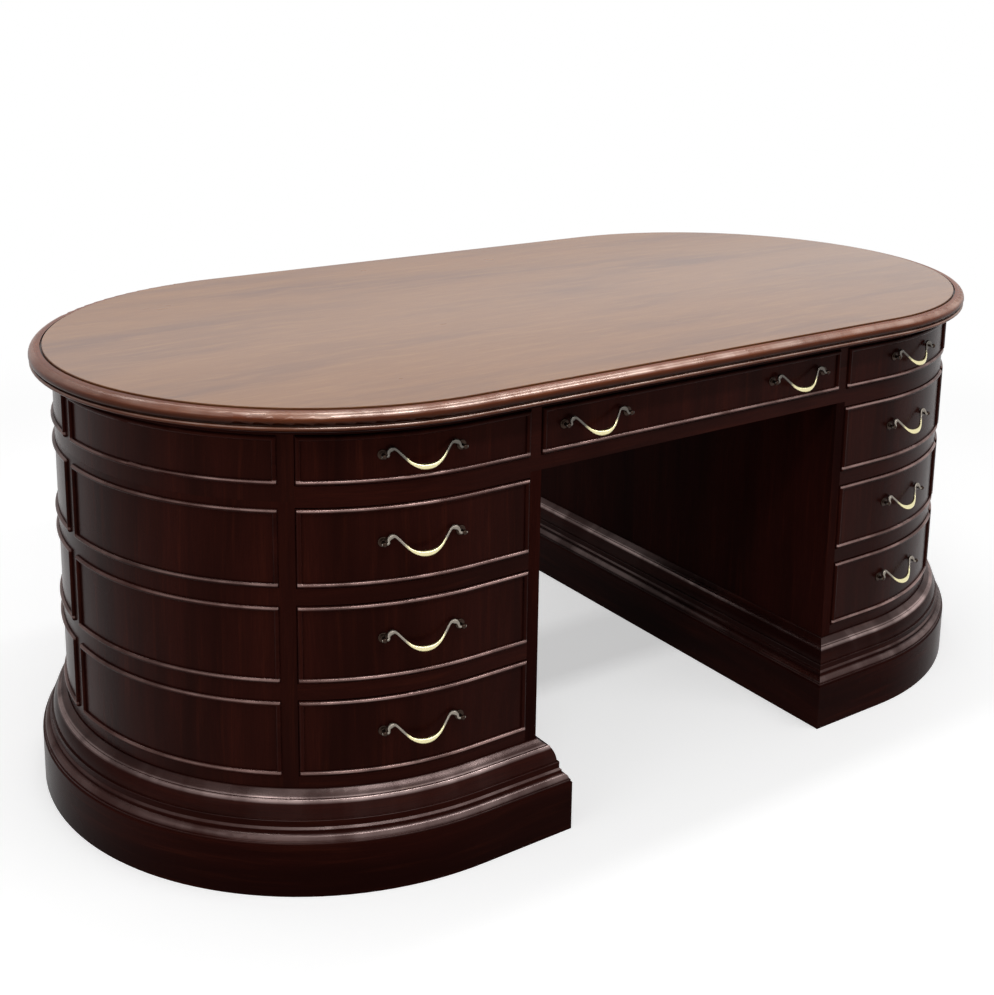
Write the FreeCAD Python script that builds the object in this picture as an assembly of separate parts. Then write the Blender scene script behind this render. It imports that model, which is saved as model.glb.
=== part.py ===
import FreeCAD, Part
import math
import os

V = FreeCAD.Vector
UP = V(0, 0, 1)

# Captains desk, in millimetres. The origin is on the floor under the middle of the top,
# the length runs along X, the drawers face -Y and Z is up. The plan of every level is the
# same figure at another radius: a straight middle between two half-round ends.

# Plan
TOP_LENGTH = 1950.0
TOP_WIDTH = 1010.0
TOP_OVERHANG = 36.0
PEDESTAL_STRAIGHT = 130.0
PANEL_THICKNESS = 22.0
FRONT_COLUMN_ANGLE = 34.1
STILE_WIDTH = 26.0

# Heights
DESK_HEIGHT = 780.0
TOP_THICKNESS = 30.0
FRIEZE_HEIGHT = 120.0
FRIEZE_RAIL_HEIGHT = 26.0
PEDESTAL_TOP_RAIL = 11.0
MIDDLE_RAIL_HEIGHT = 30.0
BOTTOM_RAIL_SHOWN = 21.0
PLINTH_HEIGHT = 88.0

# Top edge, from the field outwards and from the top down
EDGE_WIDTH = 22.0
EDGE_DROP = 2.0
EDGE_GROOVE = 3.0
EDGE_QUIRK_DEPTH = 6.0
EDGE_QUIRK_HEIGHT = 1.5
EDGE_BEAD_RADIUS = 3.5
EDGE_BEAD_SET_BACK = 1.0
FIELD_ARRIS = 1.5

# Cove under the overhang
COVE_HEIGHT = 14.0
COVE_PROJECTION = 24.0
COVE_FILLET = 3.0
COVE_BOW = 4.0

# Plinth board and the members of its moulding, from the foot up
PLINTH_THICKNESS = 22.0
PLINTH_ARRIS = 3.0
PLATFORM_THICKNESS = 22.0
PLINTH_REVEAL = 2.0
FOOT_FILLET_OUT = 2.0
FOOT_FILLET_UP = 3.0
TORUS_OUT = 9.0
TORUS_UP = 11.0
TORUS_BOW = 2.5
BAND_UP = 5.0
SPLAY_OUT = 3.0
SPLAY_UP = 3.0
NECK_BAND_UP = 11.0
STEP_OUT = 3.0
OVOLO_OUT = 8.0
OVOLO_UP = 25.0
OVOLO_BOW = 1.8
NOSE_OUT = 4.5
NOSE_UP = 3.5
NOSE_BOW = 1.2
SLOPE_OUT = 12.0
SLOPE_UP = 9.0
SLOPE_BOW = 0.6
CAP_FILLET_OUT = 1.5
CAP_FILLET_UP = 1.5

# Mitred beads round every drawer front and panel
BEAD_WIDTH = 8.0
BEAD_SHOULDER = 1.0

# Carcass
RAIL_DEPTH = 40.0
BOARD_THICKNESS = 18.0
FRIEZE_BOARD_THICKNESS = 12.0
PARTITION_THICKNESS = 15.0
RUNNER_WIDTH = 22.0
RUNNER_HEIGHT = 18.0
STOP_LENGTH = 14.0
STOP_HEIGHT = 24.0

# Drawers
FRONT_GAP = 1.5
FRONT_THICKNESS = 22.0
BOX_DEPTH = 530.0
CENTRE_BOX_DEPTH = 450.0
BOX_WALL = 12.0
BOX_SIDE_GAP = 2.0
BOX_RUNNER_GAP = 0.3
BOX_TOP_DROP = 18.0
BOX_BOTTOM_THICKNESS = 6.0
BOX_BOTTOM_RISE = 8.0
BOX_BACK_DROP = 6.0
STOP_GAP = 0.5

# Handles
PIVOT_HALF_SPAN = 65.0
PIVOT_STAND_OFF = 12.0
PIVOT_RISE = 5.0
CENTRE_HANDLE_INSET = 108.0
ROSETTE_RADIUS = 8.0
ROSETTE_HEIGHT = 2.0
POST_BITE = 1.0
POST_NECK_RADIUS = 2.8
POST_BALL_RADIUS = 4.2
STUD_RADIUS = 2.5
STUD_HOLE_CLEARANCE = 0.5
NUT_ACROSS_CORNERS = 13.0
NUT_HEIGHT = 4.0
NUT_CLEARANCE = 0.06
PIN_RADIUS = 2.0
PIN_CLEARANCE = 0.06
BAIL_NECK_RADIUS = 2.1
BAIL_DOME_RADIUS = 4.0
BAIL_BELLY_RADIUS = 5.0
BAIL_BEND_RADIUS = 2.4
BAIL_HUMP_RADIUS = 8.0
BAIL_SHOULDER_GAP = 0.6
BAIL_NECK_SLOPE = 50.0
BAIL_NECK_LENGTH = 21.0
BAIL_SECTIONS = 9
BAIL_REST_TILT = 29.0

# Places worked out from the sizes above
R_TOP = TOP_WIDTH / 2
S = TOP_LENGTH / 2 - R_TOP
R_BODY = R_TOP - TOP_OVERHANG
R_INNER = R_BODY - PANEL_THICKNESS
R_RAIL = R_BODY - RAIL_DEPTH
R_FRONT = R_BODY - FRONT_THICKNESS
KNEE_X = S - PEDESTAL_STRAIGHT
CENTRE_HANDLE_X = KNEE_X - CENTRE_HANDLE_INSET
BAY_X = KNEE_X + PANEL_THICKNESS
FRONT_INNER_X = BAY_X + FRONT_GAP
FRONT_OUTER_X = S + R_BODY * math.sin(math.radians(FRONT_COLUMN_ANGLE))
BAY_OUTER_X = FRONT_OUTER_X + FRONT_GAP
Z_FRIEZE_TOP = DESK_HEIGHT - TOP_THICKNESS
Z_FRIEZE = Z_FRIEZE_TOP - FRIEZE_HEIGHT
MOULDING_OUT = (FOOT_FILLET_OUT + TORUS_OUT + SPLAY_OUT + STEP_OUT + OVOLO_OUT + NOSE_OUT
                + SLOPE_OUT + CAP_FILLET_OUT)
MOULDING_UP = (FOOT_FILLET_UP + TORUS_UP + BAND_UP + SPLAY_UP + NECK_BAND_UP + OVOLO_UP
               + NOSE_UP + SLOPE_UP + CAP_FILLET_UP)
PLINTH_OUT = MOULDING_OUT + PLINTH_REVEAL
Z_ROWS = PLINTH_HEIGHT + MOULDING_UP + BOTTOM_RAIL_SHOWN
ROW_HEIGHT = (Z_FRIEZE - PEDESTAL_TOP_RAIL - Z_ROWS - 2 * MIDDLE_RAIL_HEIGHT) / 3
ROWS = [Z_ROWS + index * (ROW_HEIGHT + MIDDLE_RAIL_HEIGHT) for index in range(3)]
Z_FRIEZE_FRONT = Z_FRIEZE + FRIEZE_RAIL_HEIGHT
Z_FRIEZE_FRONT_TOP = Z_FRIEZE_TOP - COVE_HEIGHT - 2 * FRONT_GAP
FRONT_Y = -R_BODY
BOX_BACK_Y = FRONT_Y + BOX_DEPTH
CENTRE_BOX_BACK_Y = FRONT_Y + CENTRE_BOX_DEPTH
BEAD_HEIGHT = BEAD_SHOULDER + BEAD_WIDTH / 2
MARGIN = 20.0


def at_angle(degrees):
    """Station on the body outline at an angle from the front tangent of the right end."""
    return S + R_BODY * math.radians(degrees)


def at_back(x):
    """Station on the straight back of the body outline."""
    return at_angle(180) + S - x


def placement_at(station):
    """Local axes on the body's face: x along the outline, y up, z outwards."""
    if station <= S:
        origin = V(station, -R_BODY, 0)
        along = V(1, 0, 0)
    elif station <= at_angle(180):
        turn = (station - S) / R_BODY
        along = V(math.cos(turn), math.sin(turn), 0)
        origin = V(S, 0, 0) + R_BODY * V(along.y, -along.x, 0)
    else:
        origin = V(S - (station - at_angle(180)), R_BODY, 0)
        along = V(-1, 0, 0)
    outward = V(along.y, -along.x, 0)
    return FreeCAD.Placement(origin, FreeCAD.Rotation(along, UP, outward, "ZXY"))


def moved(shape, placement):
    """Copy of a shape carried from local axes to the desk."""
    copy = shape.copy()
    copy.Placement = placement.multiply(copy.Placement)
    return copy


def mirrored(shape):
    return shape.mirror(V(0, 0, 0), V(1, 0, 0))


def closed_face(points, to_vector):
    """Face from corners (a, b), where (mid_a, mid_b, a, b) is an arc through a middle point."""
    corners = [to_vector(*point[-2:]) for point in points]
    edges = []
    for index, point in enumerate(points[1:] + points[:1]):
        start = corners[index]
        end = to_vector(*point[-2:])
        if len(point) == 4 and index < len(points) - 1:
            edges.append(Part.Arc(start, to_vector(*point[:2]), end).toShape())
        elif start.distanceToPoint(end) > 1e-6:
            edges.append(Part.LineSegment(start, end).toShape())
    return Part.Face(Part.Wire(edges))


def round_to(centre, start, end):
    """Arc from start to end about a centre, as a corner for closed_face."""
    radius = math.hypot(start[0] - centre[0], start[1] - centre[1])
    middle = ((start[0] + end[0]) / 2 - centre[0], (start[1] + end[1]) / 2 - centre[1])
    scale = radius / math.hypot(*middle)
    return (centre[0] + middle[0] * scale, centre[1] + middle[1] * scale, *end)


def bowed(start, end, bow):
    """Arc from start to end as a corner for closed_face: full if bow is positive, or hollow."""
    rise = (end[0] - start[0], end[1] - start[1])
    share = bow / math.hypot(*rise)
    middle_a = (start[0] + end[0]) / 2 + rise[1] * share
    middle_b = (start[1] + end[1]) / 2 - rise[0] * share
    return (middle_a, middle_b, *end)


def section(points):
    """Section of a curved piece, as (radius, height) at the front tangent."""
    return closed_face(points, lambda radius, height: V(S, -radius, height))


def box_section(inner, outer, low, high):
    return section([(inner, low), (outer, low), (outer, high), (inner, high)])


def sweep(face, start, end):
    """Carry a section along the outline of the right half, between two stations."""
    arc_end = at_angle(180)
    pieces = []
    if start < S:
        straight = face.translated(V(start - S, 0, 0))
        pieces.append(straight.extrude(V(min(end, S) - start, 0, 0)))
    if end > S and start < arc_end:
        first = math.degrees((max(start, S) - S) / R_BODY)
        last = math.degrees((min(end, arc_end) - S) / R_BODY)
        turned = face.copy()
        turned.rotate(V(S, 0, 0), UP, first)
        pieces.append(turned.revolve(V(S, 0, 0), UP, last - first))
    if end > arc_end:
        turned = face.copy()
        turned.rotate(V(S, 0, 0), UP, 180)
        first = max(start, arc_end) - arc_end
        turned = turned.translated(V(-first, 0, 0))
        pieces.append(turned.extrude(V(arc_end + first - end, 0, 0)))
    whole = pieces[0]
    if len(pieces) > 1:
        whole = whole.fuse(pieces[1:]).removeSplitter()
    return whole.Solids[0]


def box(x0, x1, y0, y1, z0, z1):
    return Part.makeBox(x1 - x0, y1 - y0, z1 - z0, V(x0, y0, z0))


def half_plan(radius, inner_x, low, high):
    """Prism of the right-hand half plan: a straight part from inner_x and a half-round end."""
    arc = Part.Arc(V(S, -radius, low), V(S + radius, 0, low), V(S, radius, low)).toShape()
    corners = [V(S, radius, low), V(inner_x, radius, low), V(inner_x, -radius, low),
               V(S, -radius, low)]
    lines = [Part.LineSegment(a, b).toShape() for a, b in zip(corners, corners[1:])]
    return Part.Face(Part.Wire([arc] + lines)).extrude(V(0, 0, high - low))


def full_plan(radius, low, high):
    """Prism of the whole plan: a straight middle between two half-round ends."""
    right = Part.Arc(V(S, -radius, low), V(S + radius, 0, low), V(S, radius, low)).toShape()
    left = Part.Arc(V(-S, radius, low), V(-S - radius, 0, low), V(-S, -radius, low)).toShape()
    back = Part.LineSegment(V(S, radius, low), V(-S, radius, low)).toShape()
    front = Part.LineSegment(V(-S, -radius, low), V(S, -radius, low)).toShape()
    return Part.Face(Part.Wire([right, back, left, front])).extrude(V(0, 0, high - low))


def export(name, solids):
    Part.makeCompound(solids).exportStep(f"parts/{name}.step")


def both_sides(name, solids):
    """Write a right-hand piece and its mirror image."""
    export(f"right_{name}", solids)
    export(f"left_{name}", [mirrored(solid) for solid in solids])


def round_the_plan(face):
    """Four lengths of a moulding: front, right end, back and left end."""
    front = face.translated(V(-2 * S, 0, 0)).extrude(V(2 * S, 0, 0))
    back = front.mirror(V(0, 0, 0), V(0, 1, 0))
    end = sweep(face, S, at_angle(180))
    return [front, end, back, mirrored(end)]


def bead_points(middle, base):
    """Half-round bead on a short shoulder, as (proud, across)."""
    half = BEAD_WIDTH / 2
    return [(base, middle - half), (base + BEAD_SHOULDER, middle - half),
            (base + BEAD_HEIGHT, middle, base + BEAD_SHOULDER, middle + half),
            (base, middle + half)]


def mitre(side, low_corner, height, upright):
    """Cutter for one bead end, in local axes: what lies past the 45 degree line."""
    half = BEAD_WIDTH / 2
    rise = 1 if low_corner else -1
    outer = (side * (half + MARGIN), height - rise * MARGIN)
    inner = (-side * (half + MARGIN), height + rise * (BEAD_WIDTH + MARGIN))
    third = (inner[0], outer[1]) if upright else (outer[0], inner[1])
    face = Part.Face(Part.makePolygon([V(*outer, -MARGIN), V(*inner, -MARGIN),
                                       V(*third, -MARGIN), V(*outer, -MARGIN)]))
    return face.extrude(V(0, 0, 2 * MARGIN))


def bead_frame(start, end, low, high):
    """Four mitred bead lengths round a panel between two stations and two heights."""
    half = BEAD_WIDTH / 2
    ends = [(-1, placement_at(start + half)), (1, placement_at(end - half))]
    lengths = []
    for level, is_low in ((low, True), (high, False)):
        middle = level + half if is_low else level - half
        bar = sweep(section(bead_points(middle, R_BODY)), start, end)
        cutters = [moved(mitre(side, is_low, level, False), place) for side, place in ends]
        lengths.append(bar.cut(cutters).Solids[0])
    for side, place in ends:
        profile = closed_face(bead_points(0, 0), lambda proud, across: V(across, low, proud))
        bar = profile.extrude(V(0, high - low, 0))
        bar = bar.cut([mitre(side, True, low, True), mitre(side, False, high, True)])
        lengths.append(moved(bar.Solids[0], place))
    return lengths


def top_board():
    field = full_plan(R_TOP - EDGE_WIDTH, Z_FRIEZE_TOP, DESK_HEIGHT)
    rim = [edge for edge in field.Edges if edge.BoundBox.ZMin > DESK_HEIGHT - FIELD_ARRIS]
    export("top_board", [field.makeFillet(FIELD_ARRIS, rim)])


def top_edge_moulding():
    """Bullnose over a quirk and a bead, with a quirk groove against the field."""
    inner = R_TOP - EDGE_WIDTH
    crown = DESK_HEIGHT - EDGE_DROP
    bead_r = R_TOP - EDGE_BEAD_SET_BACK - EDGE_BEAD_RADIUS
    bead_top = Z_FRIEZE_TOP + 2 * EDGE_BEAD_RADIUS
    quirk_r = R_TOP - EDGE_QUIRK_DEPTH
    quirk_top = bead_top + EDGE_QUIRK_HEIGHT
    waist = quirk_top + EDGE_QUIRK_DEPTH
    nose = min(crown - waist, EDGE_WIDTH - EDGE_GROOVE)
    shoulder = crown - nose
    points = [
        (inner, Z_FRIEZE_TOP),
        (bead_r, Z_FRIEZE_TOP),
        (bead_r + EDGE_BEAD_RADIUS, Z_FRIEZE_TOP + EDGE_BEAD_RADIUS, bead_r, bead_top),
        (quirk_r, bead_top),
        (quirk_r, quirk_top),
        round_to((quirk_r, waist), (quirk_r, quirk_top), (R_TOP, waist)),
        (R_TOP, shoulder),
        round_to((R_TOP - nose, shoulder), (R_TOP, shoulder), (R_TOP - nose, crown)),
        (inner + EDGE_GROOVE, crown),
        (inner + EDGE_GROOVE, crown - EDGE_GROOVE),
        (inner, crown - EDGE_GROOVE),
    ]
    export("top_edge_moulding", round_the_plan(section(points)))


def cove_moulding():
    low = Z_FRIEZE_TOP - COVE_HEIGHT
    foot = R_BODY + COVE_FILLET
    lip = R_BODY + COVE_PROJECTION
    hollow_low = low + COVE_FILLET
    hollow_high = Z_FRIEZE_TOP - COVE_FILLET
    points = [
        (R_BODY, low),
        (foot, low),
        (foot, hollow_low),
        bowed((foot, hollow_low), (lip, hollow_high), -COVE_BOW),
        (lip, Z_FRIEZE_TOP),
        (R_BODY, Z_FRIEZE_TOP),
    ]
    export("cove_moulding", round_the_plan(section(points)))


def shell(low, high, last):
    """Bent panel from the front stile round the right end to a station on the back."""
    bend = sweep(box_section(R_INNER, R_BODY, low, high), at_angle(FRONT_COLUMN_ANGLE), last)
    opening = box(0, BAY_OUTER_X, -R_TOP, 0, low - MARGIN, high + MARGIN)
    return bend.cut(opening).Solids[0]


def front_rail(low, high, depth=RAIL_DEPTH):
    """Rail across the right pedestal's drawer opening, curved like the front."""
    past = at_angle(FRONT_COLUMN_ANGLE) + depth
    bar = sweep(box_section(R_BODY - depth, R_BODY, low, high), BAY_X, past)
    stile = box(BAY_OUTER_X, TOP_LENGTH, -R_TOP, 0, low - MARGIN, high + MARGIN)
    return bar.cut(stile).Solids[0]


def panel_columns():
    """First and last station of the end panels and the back panel of the right half."""
    stile = math.degrees((STILE_WIDTH + FRONT_GAP) / R_BODY)
    half_stile = math.degrees(STILE_WIDTH / 2 / R_BODY)
    first = FRONT_COLUMN_ANGLE + stile
    return [
        (at_angle(first), at_angle(90 - half_stile)),
        (at_angle(90 + half_stile), at_angle(180 - first)),
        (at_angle(180 - FRONT_COLUMN_ANGLE), at_back(FRONT_INNER_X)),
    ]


def frieze():
    panel = shell(Z_FRIEZE, Z_FRIEZE_TOP, at_angle(180))
    back = box(-S, S, R_INNER, R_BODY, Z_FRIEZE, Z_FRIEZE_TOP)
    export("frieze_panels", [panel, mirrored(panel), back])

    rails = []
    for low, high in ((Z_FRIEZE, Z_FRIEZE_FRONT - FRONT_GAP),
                      (Z_FRIEZE_FRONT_TOP + FRONT_GAP, Z_FRIEZE_TOP)):
        right = front_rail(low, high)
        middle = box(-BAY_X, BAY_X, -R_BODY, -R_RAIL, low, high)
        rails.append(right.fuse([middle, mirrored(right)]).removeSplitter().Solids[0])
    lower, upper = rails
    stile = box(KNEE_X + FRONT_GAP, BAY_X, -R_BODY, -R_RAIL,
                Z_FRIEZE_FRONT - FRONT_GAP, Z_FRIEZE_FRONT_TOP + FRONT_GAP)
    export("frieze_front_frame", [lower, upper, stile, mirrored(stile)])

    floor = full_plan(R_INNER, Z_FRIEZE, Z_FRIEZE + FRIEZE_BOARD_THICKNESS)
    export("frieze_bottom_board", [floor.cut(lower).Solids[0]])

    inside = half_plan(R_INNER, KNEE_X, Z_FRIEZE + FRIEZE_BOARD_THICKNESS, Z_FRIEZE_TOP)
    boards = []
    for x0, x1 in ((KNEE_X + FRONT_GAP, BAY_X),
                   (BAY_OUTER_X, BAY_OUTER_X + PARTITION_THICKNESS)):
        board = box(x0, x1, -R_BODY, R_BODY, Z_FRIEZE, DESK_HEIGHT).common(inside)
        board = board.cut([lower, upper, stile]).Solids[0]
        boards += [board, mirrored(board)]
    export("frieze_partitions", boards)

    beads = []
    for start, end in panel_columns():
        right = bead_frame(start, end, Z_FRIEZE_FRONT, Z_FRIEZE_FRONT_TOP)
        beads += right + [mirrored(bead) for bead in right]
    beads += bead_frame(at_back(KNEE_X), at_back(-KNEE_X), Z_FRIEZE_FRONT, Z_FRIEZE_FRONT_TOP)
    export("frieze_panel_beads", beads)


def runner(x0, x1, top, height, back_y):
    """Runner from the rail to behind the drawer, and the stop block on its end."""
    last = back_y + STOP_GAP + STOP_LENGTH
    strip = box(x0, x1, -R_BODY, last, top - height, top)
    behind_rail = half_plan(R_RAIL, 0, top - height, top)
    stop = box(x0, x1, back_y + STOP_GAP, last, top, top + STOP_HEIGHT)
    return [strip.common(behind_rail).Solids[0], stop]


def drawer_runners():
    levels = [(z - FRONT_GAP, RUNNER_HEIGHT) for z in ROWS]
    frieze_top = Z_FRIEZE_FRONT - FRONT_GAP
    frieze_height = frieze_top - Z_FRIEZE - FRIEZE_BOARD_THICKNESS
    levels.append((frieze_top, frieze_height))
    right = []
    for top, height in levels:
        right += runner(BAY_X, BAY_X + RUNNER_WIDTH, top, height, BOX_BACK_Y)
        right += runner(BAY_OUTER_X - RUNNER_WIDTH, BAY_OUTER_X, top, height, BOX_BACK_Y)
    inner_x = KNEE_X + FRONT_GAP
    right += runner(inner_x - RUNNER_WIDTH, inner_x, frieze_top, frieze_height,
                    CENTRE_BOX_BACK_Y)
    export("drawer_runners", right + [mirrored(strip) for strip in right])


def pedestal():
    both_sides("pedestal_shell", [shell(PLINTH_HEIGHT, Z_FRIEZE, at_back(BAY_X))])
    both_sides("pedestal_inner_side",
               [box(KNEE_X, BAY_X, -R_BODY, R_BODY, PLINTH_HEIGHT, Z_FRIEZE)])

    gaps = [(PLINTH_HEIGHT, ROWS[0])]
    gaps += [(low + ROW_HEIGHT, low + ROW_HEIGHT + MIDDLE_RAIL_HEIGHT) for low in ROWS[:2]]
    rails = [front_rail(gaps[0][0], gaps[0][1] - FRONT_GAP)]
    rails += [front_rail(low + FRONT_GAP, high - FRONT_GAP) for low, high in gaps[1:]]
    rails.append(front_rail(ROWS[2] + ROW_HEIGHT + FRONT_GAP, Z_FRIEZE))
    both_sides("pedestal_front_frame", rails)

    lid_low = ROWS[2] + ROW_HEIGHT + FRONT_GAP
    floor_high = PLINTH_HEIGHT + BOARD_THICKNESS
    floor = half_plan(R_INNER, BAY_X, PLINTH_HEIGHT, floor_high).cut(rails[0])
    lid = half_plan(R_INNER, BAY_X, lid_low, Z_FRIEZE).cut(rails[-1])
    inside = half_plan(R_INNER, BAY_X, floor_high, lid_low)
    wall = box(BAY_OUTER_X, BAY_OUTER_X + PARTITION_THICKNESS, -R_BODY, R_BODY,
               floor_high, lid_low).common(inside).cut(rails)
    both_sides("pedestal_boards", [floor.Solids[0], lid.Solids[0], wall.Solids[0]])

    beads = []
    for low in ROWS:
        for start, end in panel_columns():
            beads += bead_frame(start, end, low, low + ROW_HEIGHT)
    both_sides("pedestal_panel_beads", beads)


def mitred_return(face_at_front, reach):
    """Wrap a section round the right pedestal and along its kneehole side, mitred."""
    corner = V(KNEE_X, -R_BODY, 0)
    tip = V(KNEE_X - reach, -R_BODY - reach, 0)
    outline = [corner, V(KNEE_X, R_BODY, 0), V(tip.x, -tip.y, 0), tip, corner]
    wedge = Part.Face(Part.makePolygon(outline)).extrude(V(0, 0, DESK_HEIGHT))
    first = KNEE_X - reach
    wrap = sweep(face_at_front, first, at_back(first)).cut(wedge)
    side = face_at_front.copy()
    side.rotate(V(S, 0, 0), UP, -90)
    side = side.translated(V(KNEE_X + R_BODY - S, -2 * R_BODY, 0))
    side = side.extrude(V(0, 4 * R_BODY, 0)).common(wedge)
    return [wrap.Solids[0], side.Solids[0]]


def plinth():
    outer = R_BODY + PLINTH_OUT
    inner = outer - PLINTH_THICKNESS
    arris_z = PLINTH_HEIGHT - PLINTH_ARRIS
    arris_r = outer - PLINTH_ARRIS
    board = section([
        (inner, 0),
        (outer, 0),
        (outer, arris_z),
        round_to((arris_r, arris_z), (outer, arris_z), (arris_r, PLINTH_HEIGHT)),
        (inner, PLINTH_HEIGHT),
    ])
    platform = half_plan(inner, KNEE_X - (inner - R_BODY), PLINTH_HEIGHT - PLATFORM_THICKNESS,
                         PLINTH_HEIGHT)
    both_sides("plinth_frame", mitred_return(board, PLINTH_OUT + MARGIN) + [platform])


def plinth_moulding():
    """Foot fillet, torus, two bands parted by a splay, ovolo with a round nose, slope and cap."""
    outer = R_BODY + MOULDING_OUT
    torus_foot = (outer - FOOT_FILLET_OUT, PLINTH_HEIGHT + FOOT_FILLET_UP)
    torus_head = (torus_foot[0] - TORUS_OUT, torus_foot[1] + TORUS_UP)
    band_head = (torus_head[0], torus_head[1] + BAND_UP)
    splay_head = (band_head[0] - SPLAY_OUT, band_head[1] + SPLAY_UP)
    neck_head = (splay_head[0], splay_head[1] + NECK_BAND_UP)
    ovolo_foot = (neck_head[0] - STEP_OUT, neck_head[1])
    ovolo_head = (ovolo_foot[0] - OVOLO_OUT, ovolo_foot[1] + OVOLO_UP)
    nose_head = (ovolo_head[0] - NOSE_OUT, ovolo_head[1] + NOSE_UP)
    cap_foot = (nose_head[0] - SLOPE_OUT, nose_head[1] + SLOPE_UP)
    cap_head = cap_foot[1] + CAP_FILLET_UP
    points = [
        (R_BODY, PLINTH_HEIGHT),
        (outer, PLINTH_HEIGHT),
        (outer, torus_foot[1]),
        torus_foot,
        bowed(torus_foot, torus_head, TORUS_BOW),
        band_head,
        splay_head,
        neck_head,
        ovolo_foot,
        bowed(ovolo_foot, ovolo_head, OVOLO_BOW),
        bowed(ovolo_head, nose_head, NOSE_BOW),
        bowed(nose_head, cap_foot, -SLOPE_BOW),
        (cap_foot[0], cap_head),
        (R_BODY, cap_head),
    ]
    both_sides("plinth_moulding", mitred_return(section(points), PLINTH_OUT + MARGIN))


class Handle:
    """Place of one swan-neck handle on a drawer front, by station and the front's middle height."""

    def __init__(self, station, height):
        self.height = V(0, 0, height + PIVOT_RISE)
        reach = R_BODY + PIVOT_STAND_OFF
        if station <= S:
            offset = PIVOT_HALF_SPAN
            stand_off = PIVOT_STAND_OFF
        else:
            half_turn = math.asin(PIVOT_HALF_SPAN / reach)
            offset = R_BODY * half_turn
            stand_off = reach * math.cos(half_turn) - R_BODY
        self.posts = [self.lifted(station - offset), self.lifted(station + offset)]
        self.axis = self.lifted(station)
        self.axis.move(self.axis.Rotation.multVec(V(0, 0, stand_off)))

    def lifted(self, station):
        placement = placement_at(station)
        placement.move(self.height)
        return placement


def post_blank():
    """Turned post on a rosette, about the local z axis, long enough to be cut to the front."""
    waist = PIVOT_STAND_OFF - math.sqrt(POST_BALL_RADIUS ** 2 - POST_NECK_RADIUS ** 2)
    rim = ROSETTE_HEIGHT / 2
    shoulder = ROSETTE_RADIUS - rim
    points = [
        (0, -POST_BITE),
        (ROSETTE_RADIUS, -POST_BITE),
        (ROSETTE_RADIUS, rim),
        round_to((shoulder, rim), (ROSETTE_RADIUS, rim), (shoulder, ROSETTE_HEIGHT)),
        (POST_NECK_RADIUS + rim, ROSETTE_HEIGHT),
        round_to((POST_NECK_RADIUS + rim, ROSETTE_HEIGHT + rim),
                 (POST_NECK_RADIUS + rim, ROSETTE_HEIGHT),
                 (POST_NECK_RADIUS, ROSETTE_HEIGHT + rim)),
        (POST_NECK_RADIUS, waist),
        (POST_BALL_RADIUS, PIVOT_STAND_OFF, 0, PIVOT_STAND_OFF + POST_BALL_RADIUS),
    ]
    face = closed_face(points, lambda radius, height: V(radius, 0, height))
    return face.revolve(V(0, 0, 0), UP, 360)


def nut():
    low = -FRONT_THICKNESS - NUT_CLEARANCE - NUT_HEIGHT
    turns = [math.radians(60 * corner) for corner in range(7)]
    reach = NUT_ACROSS_CORNERS / 2
    rim = [V(reach * math.cos(turn), reach * math.sin(turn), low) for turn in turns]
    block = Part.Face(Part.makePolygon(rim)).extrude(V(0, 0, NUT_HEIGHT))
    hole = Part.makeCylinder(STUD_RADIUS + NUT_CLEARANCE, NUT_HEIGHT, V(0, 0, low))
    return block.cut(hole).Solids[0]


def post_pieces(handle, board):
    """Two posts seated on the front board, each with its stud and nut."""
    stud_length = FRONT_THICKNESS + 2 * NUT_HEIGHT
    stud = Part.makeCylinder(STUD_RADIUS, stud_length + POST_BITE, V(0, 0, -stud_length))
    bore_length = 4 * PIVOT_HALF_SPAN
    bore = Part.makeCylinder(PIN_RADIUS + PIN_CLEARANCE, bore_length,
                             V(-bore_length / 2, 0, 0), V(1, 0, 0))
    bore = moved(bore, handle.axis)
    pieces = []
    for place in handle.posts:
        post = moved(post_blank(), place).cut(board)
        post = post.fuse(moved(stud, place)).cut(bore)
        pieces += [post.Solids[0], moved(nut(), place)]
    return pieces


def arc_rings(centre, radius, start, end, thick):
    """Rings square to an arc about a centre, the rod swelling to its thickest half way."""
    rings = []
    for index in range(BAIL_SECTIONS):
        share = index / (BAIL_SECTIONS - 1)
        turn = math.radians(start + (end - start) * share)
        swell = math.sin(math.pi * share) ** 2
        outward = V(math.cos(turn), math.sin(turn), 0)
        rings.append(Part.Wire(Part.makeCircle(
            BAIL_NECK_RADIUS + (thick - BAIL_NECK_RADIUS) * swell,
            centre + radius * outward, V(-outward.y, outward.x, 0))))
    return rings


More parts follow.
